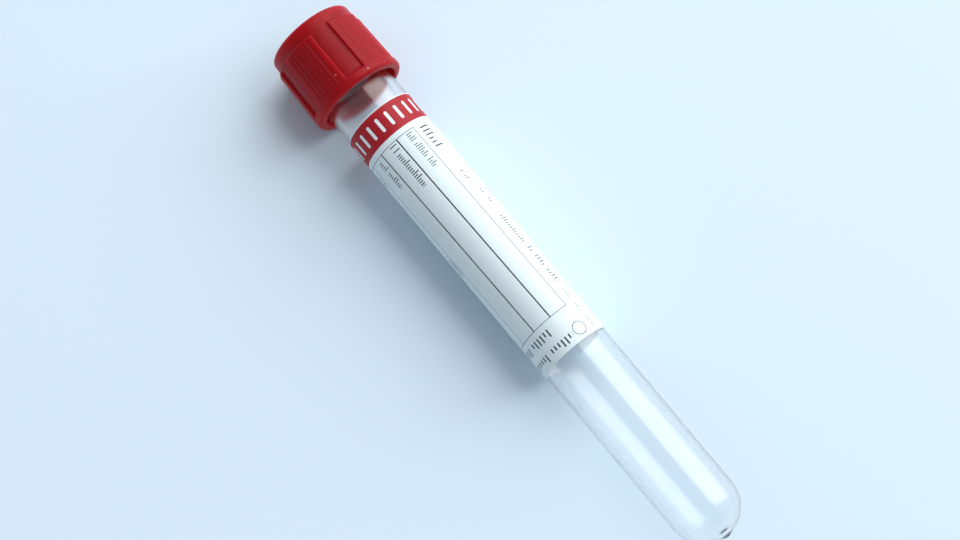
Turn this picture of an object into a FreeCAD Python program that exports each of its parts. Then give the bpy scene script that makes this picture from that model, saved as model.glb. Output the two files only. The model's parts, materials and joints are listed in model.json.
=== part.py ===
"""An evacuated blood collection tube of the 13 x 100 class, closed and lying on its side.

The tube's own axis is each piece's Z while it is drawn, pointing from the round bottom to the cap.
The tube and its label are drawn from the outer tip of the round bottom. The closure (cap, rubber
stopper and retaining ring) is drawn from its seat: the underside of the cap's inner web, which faces
the tube's mouth. At the end the whole is laid down with its cap towards +X: it rests on the round
bottom and on the rim of the cap. Millimetres and degrees throughout.
"""

import FreeCAD
import Part
import Sketcher
import math
import os
import re

SIZES = [
    # tube
    ("tube_length", 100, "from the tip of the bottom to the mouth"),
    ("tube_mouth_diameter", 12.6, "outside, at the mouth"),
    ("tube_wall", 1.05, "thickness of the side wall"),
    ("tube_draft", 0.17, "angle by which the tube narrows towards its bottom"),
    ("bottom_thickness", 1.2, "wall at the middle of the round bottom"),
    ("gate_diameter", 2, "moulding gate left at the tip"),
    ("gate_height", 0.25, "how far the gate stands out of the round bottom"),
    ("mouth_chamfer", 0.2, "edges of the mouth"),
    # label
    ("label_below_cap", 4.95, "from the rim of the cap to the label"),
    ("label_length", 50.55, "along the tube"),
    ("label_wrap", 310, "angle that the label covers"),
    ("label_thickness", 0.08, "film"),
    ("glue_thickness", 0.02, "between the tube and the label"),
    ("label_turn", 5, "middle of the label, away from straight up"),
    # cap
    ("cap_height", 14, "from the rim of the skirt to the top"),
    ("cap_draft", 1.35, "angle by which the cap widens towards its rim"),
    ("cap_top_rounding", 0.8, "outer edge of the top"),
    ("cap_rim_rounding", 0.7, "outer edge of the rim"),
    ("skirt_clearance", 0.81, "between the skirt and the mouth of the tube"),
    ("skirt_wall", 0.735, "thickness of the skirt under the flutes, at the web"),
    ("chamber_wall", 1.07, "thickness of the band round the chamber, at the top"),
    ("web_thickness", 0.95, "inner web that the stopper hangs on"),
    ("seat_gap", 0.05, "between the web and the mouth of the tube"),
    ("lip_width", 0.35, "how far the snap lip reaches in over the ring"),
    ("lip_height", 0.5, "straight part of the snap lip"),
    ("lip_slope", 0.5, "height of the slope that leads the ring in"),
    ("top_recess", 2, "from the top of the cap down to the ring"),
    ("cap_turn", 2.5, "middle of the first flute, away from straight up"),
    # grip of the cap
    ("pad_count", 5, "raised pads round the cap"),
    ("pad_depth", 0.48, "how far the pads stand above the band and the flutes"),
    ("pad_start", 2.4, "from the top of the cap to the foot of the pads"),
    ("flute_angle", 24.6, "width of a flute"),
    ("flute_end", 1.3, "height of the plain collar below the flutes"),
    ("flute_run_out", 0.35, "length of the slope at the closed end of a flute"),
    ("pad_rounding", 0.2, "long edges of the pads"),
    ("rib_count", 5, "fine ribs on each pad"),
    ("rib_pitch", 5.85, "angle from one rib to the next"),
    ("valley_radius", 0.4, "round valley on each side of a rib"),
    ("valley_depth", 0.14, "how deep a valley is cut in its pad"),
    # stopper
    ("plug_depth", 3.9, "how far the plug reaches into the tube"),
    ("plug_clearance", 0.15, "between the plug and the bore, at the mouth"),
    ("web_clearance", 0.1, "between the plug and the hole in the web"),
    ("bead_clearance", 0.03, "between the sealing beads and the bore"),
    ("bead_width", 0.8, "sealing bead, at its foot"),
    ("bead_crest", 0.3, "sealing bead, at its crest"),
    ("bead_depth", 1.1, "from the mouth to the middle of the first bead"),
    ("bead_pitch", 1.5, "from one bead to the next"),
    ("bead_count", 2, "sealing beads round the plug"),
    ("plug_lead_in", 0.45, "slope on the end of the plug, across"),
    ("plug_lead_length", 0.7, "slope on the end of the plug, along"),
    ("flange_thickness", 2, "stopper between the web and the ring"),
    ("flange_clearance", 0.1, "between the flange and the chamber"),
    ("well_margin", 0.7, "from the edge of the port to the needle well"),
    ("well_slope", 1.7, "side of the needle well, across"),
    ("well_depth", 1.2, "side of the needle well, along"),
    ("hollow_wall", 2.1, "plug round the hollow in its end"),
    ("hollow_slope", 1, "side of the hollow, across"),
    ("hollow_depth", 2.2, "side of the hollow, along"),
    # retaining ring
    ("ring_thickness", 2.5, "along the axis"),
    ("ring_clearance", 0.05, "between the ring and the chamber"),
    ("port_diameter", 8.4, "needle port through the ring"),
    ("port_lead_in", 0.5, "slope at the mouth of the port"),
]

# Places along and across the axis, as formulas in the names above.
MOUTH = "(tube_mouth_diameter / 2)"
BORE = f"({MOUTH} - tube_wall)"
PLUG = f"({BORE} - plug_clearance)"
WEB_HOLE = f"({PLUG} + web_clearance)"
SKIRT = f"({MOUTH} + skirt_clearance)"
PORT = "(port_diameter / 2)"
BOTTOM = "(gate_height + bottom_thickness)"
FLANGE_TOP = "(web_thickness + flange_thickness)"
RING_TOP = f"({FLANGE_TOP} + ring_thickness)"
CAP_TOP = f"({RING_TOP} + top_recess)"
CAP_RIM = f"({CAP_TOP} - cap_height)"
COLLAR_TOP = f"({CAP_RIM} + flute_end)"
PAD_FOOT = f"({CAP_TOP} - pad_start)"
PLUG_END = "(-seat_gap - plug_depth)"
LABEL_TOP = f"(tube_length + seat_gap + {CAP_RIM} - label_below_cap)"


def dome(mouth_radius, tip):
    """Radius of the ball that closes a drafted wall tangentially and whose lowest point is at tip."""
    drop = f"(tube_length - {tip})"
    return f"(({mouth_radius} * cos(tube_draft) - {drop} * sin(tube_draft)) / (1 - sin(tube_draft)))"


def tube_radius(height):
    """Outside of the tube at a height above the tip of its bottom."""
    return f"({MOUTH} - (tube_length - {height}) * tan(tube_draft))"


def band_radius(height):
    """Plain band of the cap, and the floor of the flutes, at a height above the closure's seat."""
    return f"({SKIRT} + skirt_wall - {height} * tan(cap_draft))"


def pad_radius(height):
    """Crest of the grip pads, and the collar below them, at a height above the closure's seat."""
    return f"({band_radius(height)} + pad_depth)"


CHAMBER = f"({band_radius(CAP_TOP)} - chamber_wall)"


class Model:
    """The document with its sheet of sizes, and the ways its pieces are drawn from that sheet."""

    def __init__(self, name):
        self.document = FreeCAD.newDocument(name)
        self.sheet = self.document.addObject("Spreadsheet::Sheet", "Sizes")
        for row, (alias, value, meaning) in enumerate(SIZES, start=1):
            self.sheet.set(f"A{row}", alias)
            self.sheet.set(f"B{row}", str(value))
            self.sheet.set(f"C{row}", meaning)
            self.sheet.setAlias(f"B{row}", alias)
        self.document.recompute()
        names = "|".join(alias for alias, _, _ in SIZES)
        self.names = re.compile(rf"\b({names})\b")

    def value(self, formula):
        return float(self.sheet.evalExpression(formula))

    def bind(self, item, path, formula):
        item.setExpression(path, self.names.sub(r"Sizes.\1", formula))

    def body(self, name):
        made = self.document.addObject("PartDesign::Body", name)
        made.Label = name
        return made

    def sketch(self, body, name, plane="XZ_Plane"):
        """A sketch on one of the body's own planes. On XZ_Plane its axes are radius and height."""
        made = body.newObject("Sketcher::SketchObject", name)
        support = next(f for f in body.Origin.OriginFeatures if f.Role == plane)
        made.AttachmentSupport = [(support, "")]
        made.MapMode = "FlatFace"
        return made

    def outline(self, sketch, corners, arcs=None):
        """A closed outline through corners, each a pair of formulas. Its sides are straight, except
        those in arcs, which gives the radius of the side that starts at a corner of that number:
        a side whose radius starts with a minus sign turns right instead of left."""
        arcs = arcs or {}
        points = [FreeCAD.Vector(self.value(x), self.value(y), 0) for x, y in corners]
        sides = []
        for number, start in enumerate(points):
            end = points[(number + 1) % len(points)]
            if number in arcs:
                sides.append(self.arc(sketch, start, end, arcs[number]))
            else:
                line = sketch.addGeometry(Part.LineSegment(start, end), False)
                sides.append((line, 1, 2))
        for number, (side, first, last) in enumerate(sides):
            following, joint, _ = sides[(number + 1) % len(sides)]
            sketch.addConstraint(Sketcher.Constraint("Coincident", side, last, following, joint))
            across, along = corners[number]
            self.fix(sketch, "DistanceX", side, first, across)
            self.fix(sketch, "DistanceY", side, first, along)

    def arc(self, sketch, start, end, radius_formula):
        """A round side from start to end, as its number in the sketch and its two end points."""
        right = radius_formula.startswith("-")
        radius_formula = radius_formula.lstrip("-")
        radius = self.value(radius_formula)
        chord = end - start
        side = FreeCAD.Vector(-chord.y, chord.x, 0).normalize() * (-1 if right else 1)
        centre = (start + end) / 2 + side * math.sqrt(radius**2 - (chord.Length / 2) ** 2)
        first, last = (end, start) if right else (start, end)
        angles = [math.atan2(p.y - centre.y, p.x - centre.x) for p in (first, last)]
        circle = Part.Circle(centre, FreeCAD.Vector(0, 0, 1), radius)
        number = sketch.addGeometry(Part.ArcOfCircle(circle, *angles), False)
        self.fix(sketch, "Radius", number, None, radius_formula)
        return (number, 2, 1) if right else (number, 1, 2)

    def fix(self, sketch, kind, side, point, formula):
        """Hold one coordinate or radius at a formula. A coordinate of 0 is held on the axis."""
        if formula == "0":
            axis = -2 if kind == "DistanceX" else -1
            sketch.addConstraint(Sketcher.Constraint("PointOnObject", side, point, axis))
            return
        place = (side,) if point is None else (side, point)
        number = sketch.addConstraint(Sketcher.Constraint(kind, *place, self.value(formula)))
        self.bind(sketch, f"Constraints[{number}]", formula)

    def turned(self, body, kind, name, sketch, angle="360"):
        """A Revolution or a Groove of a sketch about the body's axis."""
        made = body.newObject(f"PartDesign::{kind}", name)
        made.Profile = sketch
        made.ReferenceAxis = (sketch, ["V_Axis"])
        made.Midplane = True
        self.bind(made, "Angle", angle)
        sketch.Visibility = False
        return made

    def ring_of(self, body, pattern, angle, count):
        """Set a polar pattern about the body's axis."""
        axis = next(f for f in body.Origin.OriginFeatures if f.Role == "Z_Axis")
        pattern.Axis = (axis, [""])
        self.bind(pattern, "Angle", angle)
        self.bind(pattern, "Occurrences", count)

    def dressed(self, body, kind, name, edges, size):
        """A Fillet or a Chamfer on the numbered edges of the body as it stands."""
        base = body.Tip
        made = body.newObject(f"PartDesign::{kind}", name)
        made.Base = (base, [f"Edge{number}" for number in edges])
        self.bind(made, "Radius" if kind == "Fillet" else "Size", size)
        return made

    def circles(self, body, height, radius):
        """Numbers of the whole circles about the axis at a height and radius."""
        self.document.recompute()
        height, radius = self.value(height), self.value(radius)
        found = []
        for number, edge in enumerate(body.Tip.Shape.Edges, start=1):
            if edge.Degenerated or not isinstance(edge.Curve, Part.Circle):
                continue
            if abs(edge.Curve.Center.z - height) + abs(edge.Curve.Radius - radius) < 1e-4:
                found.append(number)
        return found


def make_tube(model):
    """Clear moulded tube: drafted wall, round bottom with its gate, open mouth."""
    body = model.body("tube")
    outer, inner = dome(MOUTH, "gate_height"), dome(BORE, BOTTOM)
    gate = "(gate_diameter / 2)"
    outer_centre, inner_centre = f"(gate_height + {outer})", f"({BOTTOM} + {inner})"
    corners = [
        ("0", "0"),
        (gate, "0"),
        (gate, f"{outer_centre} - sqrt({outer}^2 - {gate}^2)"),
        (f"{outer} * cos(tube_draft)", f"{outer_centre} - {outer} * sin(tube_draft)"),
        (MOUTH, "tube_length"),
        (BORE, "tube_length"),
        (f"{inner} * cos(tube_draft)", f"{inner_centre} - {inner} * sin(tube_draft)"),
        ("0", BOTTOM),
    ]
    wall = model.sketch(body, "tube_section")
    model.outline(wall, corners, {2: outer, 6: f"-{inner}"})
    model.turned(body, "Revolution", "tube_wall", wall)
    mouth = model.circles(body, "tube_length", MOUTH) + model.circles(body, "tube_length", BORE)
    model.dressed(body, "Chamfer", "tube_mouth", mouth, "mouth_chamfer")
    return body


def make_label(model):
    """Film label wrapped round the drafted tube, with a bare strip left between its ends."""
    body = model.body("label")
    ends = [f"({LABEL_TOP} - label_length)", LABEL_TOP]
    corners = [(f"{tube_radius(z)} + glue_thickness", z) for z in ends]
    corners += [(f"{tube_radius(z)} + glue_thickness + label_thickness", z) for z in reversed(ends)]
    film = model.sketch(body, "label_section")
    model.outline(film, corners)
    model.turned(body, "Revolution", "label_film", film, "label_wrap")
    return body


def make_cap(model):
    """Closure shell: top band, five ribbed pads, collar, skirt, inner web and snap lip."""
    body = model.body("cap")
    lip = f"({CHAMBER} - lip_width)"
    lip_top = f"({RING_TOP} + lip_height)"
    chamfer_top = f"({PAD_FOOT} - pad_depth)"
    corners = [
        (SKIRT, CAP_RIM),
        (pad_radius(CAP_RIM), CAP_RIM),
        (pad_radius(chamfer_top), chamfer_top),
        (band_radius(PAD_FOOT), PAD_FOOT),
        (band_radius(CAP_TOP), CAP_TOP),
        (CHAMBER, CAP_TOP),
        (CHAMBER, f"{lip_top} + lip_slope"),
        (lip, lip_top),
        (lip, RING_TOP),
        (CHAMBER, RING_TOP),
        (CHAMBER, "web_thickness"),
        (WEB_HOLE, "web_thickness"),
        (WEB_HOLE, "0"),
        (SKIRT, "0"),
    ]
    shell = model.sketch(body, "shell_section")
    model.outline(shell, corners)
    model.turned(body, "Revolution", "shell", shell)
    top = model.circles(body, CAP_TOP, band_radius(CAP_TOP))
    model.dressed(body, "Fillet", "top_edge", top, "cap_top_rounding")
    rim = model.circles(body, CAP_RIM, pad_radius(CAP_RIM))
    model.dressed(body, "Fillet", "rim_edge", rim, "cap_rim_rounding")
    cut_flutes(model, body)
    model.dressed(body, "Fillet", "pad_edges", crest_edges(model, body), "pad_rounding")
    cut_valleys(model, body)
    return body


def cut_flutes(model, body):
    """Flutes between the pads, as deep as the plain band above them."""
    slope_top = f"({COLLAR_TOP} + flute_run_out)"
    beyond = f"({pad_radius(CAP_RIM)} + 1)"
    corners = [
        (band_radius(slope_top), slope_top),
        (pad_radius(COLLAR_TOP), COLLAR_TOP),
        (beyond, COLLAR_TOP),
        (beyond, PAD_FOOT),
        (band_radius(PAD_FOOT), PAD_FOOT),
    ]
    section = model.sketch(body, "flute_section")
    model.outline(section, corners)
    flute = model.turned(body, "Groove", "flute", section, "flute_angle")
    flutes = body.newObject("PartDesign::PolarPattern", "flutes")
    flutes.Originals = [flute]
    model.ring_of(body, flutes, "360", "pad_count")
    body.Tip = flutes


def crest_edges(model, body):
    """Numbers of the straight edges that run along the crests of the pads."""
    model.document.recompute()
    found = []
    for number, edge in enumerate(body.Tip.Shape.Edges, start=1):
        if edge.Degenerated or not isinstance(edge.Curve, Part.Line):
            continue
        ends = [vertex.Point for vertex in edge.Vertexes]
        if all(abs(math.hypot(p.x, p.y) - model.value(pad_radius(p.z))) < 1e-4 for p in ends):
            found.append(number)
    return found


def cut_valleys(model, body):
    """Round valleys that leave fine ribs along the middle of every pad, as high as the pad."""
    first = "(180 / pad_count - rib_pitch * rib_count / 2)"
    reach = f"({pad_radius(PAD_FOOT)} - valley_depth + valley_radius)"
    section = model.sketch(body, "valley_section", "XY_Plane")
    turn = math.radians(model.value(first))
    across = FreeCAD.Vector(math.sin(turn), -math.cos(turn), 0)
    draft = FreeCAD.Rotation(across, model.value("cap_draft"))
    section.AttachmentOffset = FreeCAD.Placement(FreeCAD.Vector(), draft)
    model.bind(section, "AttachmentOffset.Base.x", f"{reach} * cos({first})")
    model.bind(section, "AttachmentOffset.Base.y", f"{reach} * sin({first})")
    model.bind(section, "AttachmentOffset.Base.z", PAD_FOOT)
    circle = Part.Circle(FreeCAD.Vector(), FreeCAD.Vector(0, 0, 1), model.value("valley_radius"))
    section.addGeometry(circle, False)
    section.addConstraint(Sketcher.Constraint("Coincident", 0, 3, -1, 1))
    model.fix(section, "Radius", 0, None, "valley_radius")
    valley = body.newObject("PartDesign::Pocket", "valley")
    valley.Profile = section
    model.bind(valley, "Length", f"({PAD_FOOT} - {COLLAR_TOP}) / cos(cap_draft)")
    section.Visibility = False
    valleys = body.newObject("PartDesign::MultiTransform", "valleys")
    valleys.Originals = [valley]
    one_pad = model.document.addObject("PartDesign::PolarPattern", "valleys_of_a_pad")
    all_pads = model.document.addObject("PartDesign::PolarPattern", "valleys_of_all_pads")
    body.Group += [one_pad, all_pads]
    model.ring_of(body, one_pad, "rib_pitch * rib_count", "rib_count + 1")
    model.ring_of(body, all_pads, "360", "pad_count")
    valleys.Transformations = [one_pad, all_pads]
    body.Tip = valleys


def make_stopper(model):
    """Rubber stopper: flange on the web, plug in the tube's bore, needle well above."""
    body = model.body("stopper")
    lead = f"({PLUG} - plug_lead_in)"
    flange = f"({CHAMBER} - flange_clearance)"
    hollow = f"({PLUG} - hollow_wall)"
    well = f"({PORT} - well_margin)"
    corners = [
        ("0", f"{FLANGE_TOP} - well_depth"),
        ("0", f"{PLUG_END} + hollow_depth"),
        (f"{hollow} - hollow_slope", f"{PLUG_END} + hollow_depth"),
        (hollow, PLUG_END),
        (lead, PLUG_END),
        (PLUG, f"{PLUG_END} + plug_lead_length"),
        (PLUG, "web_thickness"),
        (flange, "web_thickness"),
        (flange, FLANGE_TOP),
        (well, FLANGE_TOP),
        (f"{well} - well_slope", f"{FLANGE_TOP} - well_depth"),
    ]
    section = model.sketch(body, "stopper_section")
    model.outline(section, corners)
    model.turned(body, "Revolution", "stopper_rubber", section)
    add_beads(model, body)
    return body


def add_beads(model, body):
    """Sealing beads round the plug, as high as the bore allows where the last one sits."""
    last = "(bead_depth + bead_pitch * (bead_count - 1))"
    crest = f"({BORE} - {last} * tan(tube_draft) - bead_clearance)"
    root = f"({PLUG} - hollow_wall / 2)"
    middle = "(-seat_gap - bead_depth)"
    corners = [
        (root, f"{middle} - bead_width / 2"),
        (PLUG, f"{middle} - bead_width / 2"),
        (crest, f"{middle} - bead_crest / 2"),
        (crest, f"{middle} + bead_crest / 2"),
        (PLUG, f"{middle} + bead_width / 2"),
        (root, f"{middle} + bead_width / 2"),
    ]
    section = model.sketch(body, "bead_section")
    model.outline(section, corners)
    bead = model.turned(body, "Revolution", "bead", section)
    beads = body.newObject("PartDesign::LinearPattern", "beads")
    beads.Originals = [bead]
    axis = next(f for f in body.Origin.OriginFeatures if f.Role == "Z_Axis")
    beads.Direction = (axis, [""])
    beads.Reversed = True
    model.bind(beads, "Length", "bead_pitch * (bead_count - 1)")
    model.bind(beads, "Occurrences", "bead_count")
    body.Tip = beads


def make_ring(model):
    """Ring snapped in under the cap's lip: it holds the flange down and leaves the needle port open."""
    body = model.body("retaining_ring")
    rim = f"({CHAMBER} - ring_clearance)"
    corners = [
        (PORT, FLANGE_TOP),
        (rim, FLANGE_TOP),
        (rim, RING_TOP),
        (f"{PORT} + port_lead_in", RING_TOP),
        (PORT, f"{RING_TOP} - port_lead_in"),
    ]
    section = model.sketch(body, "ring_section")
    model.outline(section, corners)
    model.turned(body, "Revolution", "ring", section)
    return body


def lean(model):
    """Angle between the axis and the table: the straight edge under it touches the round bottom, a
    ball about a point of the axis, and the rounded rim of the cap."""
    ball = model.value(dome(MOUTH, "gate_height"))
    rounding = model.value("cap_rim_rounding")
    draft = math.radians(model.value("cap_draft"))
    rim = model.value(pad_radius(CAP_RIM)) - rounding * (math.tan(draft) + 1 / math.cos(draft))
    along = model.value(f"tube_length + seat_gap + {CAP_RIM}") + rounding
    along -= model.value("gate_height") + ball
    return math.atan2(rim, along) + math.asin((rounding - ball) / math.hypot(rim, along))


def lay_down(model, pieces):
    """Lay each piece, given with its distance along the axis and its turn from straight up, so that
    the lowest points are at height 0 and the middle of the whole is over the origin."""
    angle = lean(model)
    ball = model.value(dome(MOUTH, "gate_height"))
    rounding = model.value("cap_top_rounding")
    draft = math.radians(model.value("cap_draft"))
    top = model.value(f"tube_length + seat_gap + {CAP_TOP}") - rounding
    edge = model.value(band_radius(CAP_TOP)) + rounding * (math.tan(draft) - 1 / math.cos(draft))
    far = top * math.cos(angle) + edge * math.sin(angle) + rounding
    near = -model.value("gate_diameter / 2") * math.sin(angle)
    height = ball - (model.value("gate_height") + ball) * math.sin(angle)
    tip = FreeCAD.Vector(-(far + near) / 2, 0, height)
    axis = FreeCAD.Vector(math.cos(angle), 0, math.sin(angle))
    for body, distance, turn in pieces:
        roll = FreeCAD.Rotation(FreeCAD.Vector(0, 0, 1), 180 + model.value(turn))
        lie = FreeCAD.Rotation(FreeCAD.Vector(0, 1, 0), 90 - math.degrees(angle))
        body.Placement = FreeCAD.Placement(tip + axis * model.value(distance), lie * roll)


def main():
    model = Model("blood_collection_tube")
    seat = "(tube_length + seat_gap)"
    pieces = [
        (make_tube(model), "0", "0"),
        (make_label(model), "0", "label_turn"),
        (make_cap(model), seat, "cap_turn"),
        (make_stopper(model), seat, "0"),
        (make_ring(model), seat, "0"),
    ]
    lay_down(model, pieces)
    model.document.recompute()
    for item in model.document.Objects:
        if {"Invalid", "Error"} & set(item.State):
            raise RuntimeError(f"{item.Name}: {item.State}")
    os.makedirs("parts", exist_ok=True)
    for body, _, _ in pieces:
        if body.Shape.isNull() or not body.Shape.isValid():
            raise RuntimeError(f"{body.Label} has no valid shape")
        body.Shape.exportStep(f"parts/{body.Label}.step")
        print(f"{body.Label}: {body.Shape.Volume:.1f} mm3, {len(body.Shape.Solids)} solid")


main()
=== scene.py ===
"""Looks of a blood collection tube with its closure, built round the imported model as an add-on."""

import json
import math

import bmesh
import bpy
from bpy.props import FloatProperty, FloatVectorProperty, IntProperty, PointerProperty
from mathutils import Matrix, Vector


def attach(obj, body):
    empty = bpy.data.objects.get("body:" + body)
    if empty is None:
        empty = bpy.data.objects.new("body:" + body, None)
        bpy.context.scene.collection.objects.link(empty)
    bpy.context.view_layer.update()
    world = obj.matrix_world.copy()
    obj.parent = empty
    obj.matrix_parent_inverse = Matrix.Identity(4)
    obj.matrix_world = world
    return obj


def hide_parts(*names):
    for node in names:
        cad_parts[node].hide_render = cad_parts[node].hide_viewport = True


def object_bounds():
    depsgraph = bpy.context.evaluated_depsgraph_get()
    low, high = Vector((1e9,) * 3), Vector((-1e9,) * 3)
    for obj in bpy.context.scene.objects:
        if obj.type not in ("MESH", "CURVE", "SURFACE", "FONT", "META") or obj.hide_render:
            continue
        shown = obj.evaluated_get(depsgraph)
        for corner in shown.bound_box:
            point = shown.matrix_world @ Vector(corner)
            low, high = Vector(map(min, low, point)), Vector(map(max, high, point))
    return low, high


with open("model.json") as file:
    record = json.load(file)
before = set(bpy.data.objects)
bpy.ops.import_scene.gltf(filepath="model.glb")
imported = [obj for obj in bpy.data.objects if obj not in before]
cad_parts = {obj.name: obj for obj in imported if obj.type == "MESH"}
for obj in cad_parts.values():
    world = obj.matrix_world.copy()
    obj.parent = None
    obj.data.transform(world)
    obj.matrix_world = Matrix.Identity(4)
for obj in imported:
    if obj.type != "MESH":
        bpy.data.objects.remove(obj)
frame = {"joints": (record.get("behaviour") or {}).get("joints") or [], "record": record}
CAD_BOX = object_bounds()

bl_info = {
    "name": "Blood collection tube",
    "version": (1, 0, 0),
    "blender": (4, 5, 0),
    "location": "3D View > Sidebar > Blood tube",
    "description": "Makes a closed blood collection tube with its label, cap, stopper and ring",
    "category": "Object",
}

SHARP_EDGE = math.radians(50)  # a crease beyond this angle isn't shaded smooth
WELD = 1e-6  # points of a piece this near become one, in metres
OUTLINE_WELD = 1e-7  # the same for an outline that isn't swept yet
ROUND_STEPS = 96  # of a turned piece
TUBE_STEPS = 192  # of the clear tube, whose edges refract
WALL_STEPS = 24  # of the clear tube, along its wall
DOME_STEPS = (24, 22)  # of its round bottom, outside and inside
FILM_STEPS = (24, 124)  # of the label, along the tube and round it
RIB_STEPS = 10  # of the cap, from the middle of one rib to the next
SENSOR_WIDTH = 36  # of the camera, in millimetres


def distance(name, millimetres, description):
    """A length that the user gives in the scene's unit."""
    return FloatProperty(
        name=name,
        description=description,
        default=millimetres / 1000,
        precision=5,
        subtype="DISTANCE",
        unit="LENGTH",
    )


def angle(name, degrees, description):
    """An angle, kept in radians."""
    return FloatProperty(
        name=name,
        description=description,
        default=math.radians(degrees),
        subtype="ANGLE",
        unit="ROTATION",
    )


def amount(name, default, description):
    """A plain number."""
    return FloatProperty(name=name, description=description, default=default, min=0)


def count(name, default, description):
    """A whole number."""
    return IntProperty(name=name, description=description, default=default, min=1)


def colour(name, default, description):
    """A linear colour."""
    return FloatVectorProperty(
        name=name, description=description, default=default, subtype="COLOR", min=0, max=1
    )


class TubeSettings(bpy.types.PropertyGroup):
    """Sizes and look of the clear tube"""

    length: distance("Length", 100, "From the tip of the bottom to the mouth")
    mouth_diameter: distance("Mouth diameter", 12.6, "Outside, at the mouth")
    wall: distance("Wall", 1.05, "Thickness of the side wall")
    draft: angle("Draft", 0.17, "How much the tube narrows towards its bottom")
    bottom: distance("Bottom", 1.2, "Wall at the middle of the round bottom")
    gate_diameter: distance("Gate diameter", 2.8, "Moulding gate at the tip, with its blend")
    gate_height: distance("Gate height", 0.25, "How far the gate stands out")
    gate_flat: distance("Gate flat", 0.56, "Flat end of the gate, across")
    gate_rounding: distance("Gate rounding", 0.8, "Edge of the gate")
    mouth_rounding: distance("Mouth rounding", 0.2, "Edges of the mouth")
    tint: colour("Tint", (0.98, 0.993, 1.0), "Clear plastic")
    shadow_tint: colour("Shadow tint", (0.965, 0.978, 0.985), "Light that crosses the clear plastic")
    roughness: amount("Roughness", 0.14, "Roughness of the clear plastic")
    unevenness: amount("Unevenness", 0.2, "Share by which the roughness varies")
    refraction: amount("Index of refraction", 1.5, "How far the clear plastic bends light")


class LabelSettings(bpy.types.PropertyGroup):
    """Sizes and look of the label"""

    below_cap: distance("Below the cap", 4.95, "From the rim of the cap to the label")
    length: distance("Length", 50.55, "Along the tube")
    wrap: angle("Wrap", 310, "Angle that the label covers")
    thickness: distance("Thickness", 0.08, "Film")
    glue: distance("Glue", 0.02, "Between the tube and the label")
    turn: angle("Turn", 5, "Middle of the label, away from straight up")
    askew: angle("Askew", 1.0, "How far the label is out of line with the tube")
    film: colour("Film", (0.81, 0.95, 1.0), "Unprinted film")
    back: colour("Back", (0.90, 0.95, 0.98), "Glued side of the film")
    band: colour("Band", (0.42, 0.012, 0.022), "Coloured band below the cap")
    ink: colour("Ink", (0.03, 0.045, 0.065), "Lines and marks")
    roughness: amount("Roughness", 0.42, "Roughness of the printed side")
    back_roughness: amount("Back roughness", 0.6, "Roughness of the glued side")
    sheen: amount("Sheen", 0.25, "Strength of the film's shine")
    glow: amount("Glow", 1.0, "Share of the light on the glued side that comes through the film")
    glow_reach: distance("Glow reach", 0.3, "How far light travels in the film")


class CapSettings(bpy.types.PropertyGroup):
    """Sizes and look of the red cap"""

    height: distance("Height", 14, "From the rim of the skirt to the top")
    draft: angle("Draft", 1.35, "How much the cap widens towards its rim")
    top_rounding: distance("Top rounding", 0.8, "Outer edge of the top")
    rim_rounding: distance("Rim rounding", 0.7, "Outer edge of the rim")
    inner_rounding: distance("Inner rounding", 0.15, "Inner edge of the rim")
    skirt_clearance: distance("Skirt clearance", 0.81, "Between the skirt and the mouth")
    skirt_wall: distance("Skirt wall", 0.735, "Under the flutes, at the web")
    chamber_wall: distance("Chamber wall", 1.07, "Round the chamber, at the top")
    web: distance("Web", 0.95, "Inner web that the stopper hangs on")
    seat_gap: distance("Seat gap", 0.05, "Between the web and the mouth of the tube")
    lip_width: distance("Lip width", 0.35, "How far the snap lip reaches in")
    lip_height: distance("Lip height", 0.5, "Straight part of the snap lip")
    lip_slope: distance("Lip slope", 0.5, "Slope that leads the ring in")
    top_recess: distance("Top recess", 2, "From the top down to the ring")
    turn: angle("Turn", 2.5, "Middle of the first flute, away from straight up")
    pad_count: count("Pads", 5, "Raised pads round the cap")
    pad_depth: distance("Pad depth", 0.48, "How far the pads stand out")
    pad_start: distance("Pad start", 2.4, "From the top to the foot of the pads")
    pad_edge: distance("Pad edge", 0.25, "Rounding of the edges of the pads")
    flute_angle: angle("Flute angle", 24.6, "Width of a flute")
    flute_run_out: distance("Flute run-out", 0.8, "Slope from the floor of a flute to the collar")
    collar: distance("Collar", 1.3, "Plain collar below the flutes")
    rib_count: count("Ribs", 5, "Fine ribs on each pad")
    rib_pitch: angle("Rib pitch", 5.85, "From one rib to the next")
    valley_radius: distance("Valley radius", 0.4, "Round valley on each side of a rib")
    valley_depth: distance("Valley depth", 0.09, "How deep a valley is cut")
    valley_fade: distance("Valley fade", 0.5, "Length over which a valley runs out")
    plastic: colour("Plastic", (0.34, 0.004, 0.009), "Red moulded plastic")
    dust: colour("Dust", (0.58, 0.26, 0.28), "Specks of dust")
    dust_size: distance("Dust size", 0.22, "Reach of the largest specks")
    dust_spacing: distance("Dust spacing", 3.8, "From speck to speck")
    roughness: amount("Roughness", 0.4, "Roughness of the moulded plastic")
    grain: distance("Grain", 0.02, "Depth of the plastic's fine grain")
    sheen: amount("Sheen", 0.17, "Strength of the plastic's shine")
    glow: amount("Glow", 1.0, "Share of the light that soaks into the plastic")
    glow_reach: distance("Glow reach", 4.5, "How far red light travels in the plastic")
    glow_tint: colour("Glow tint", (1.0, 0.03, 0.04), "Share of the reach, for each colour of light")


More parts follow.
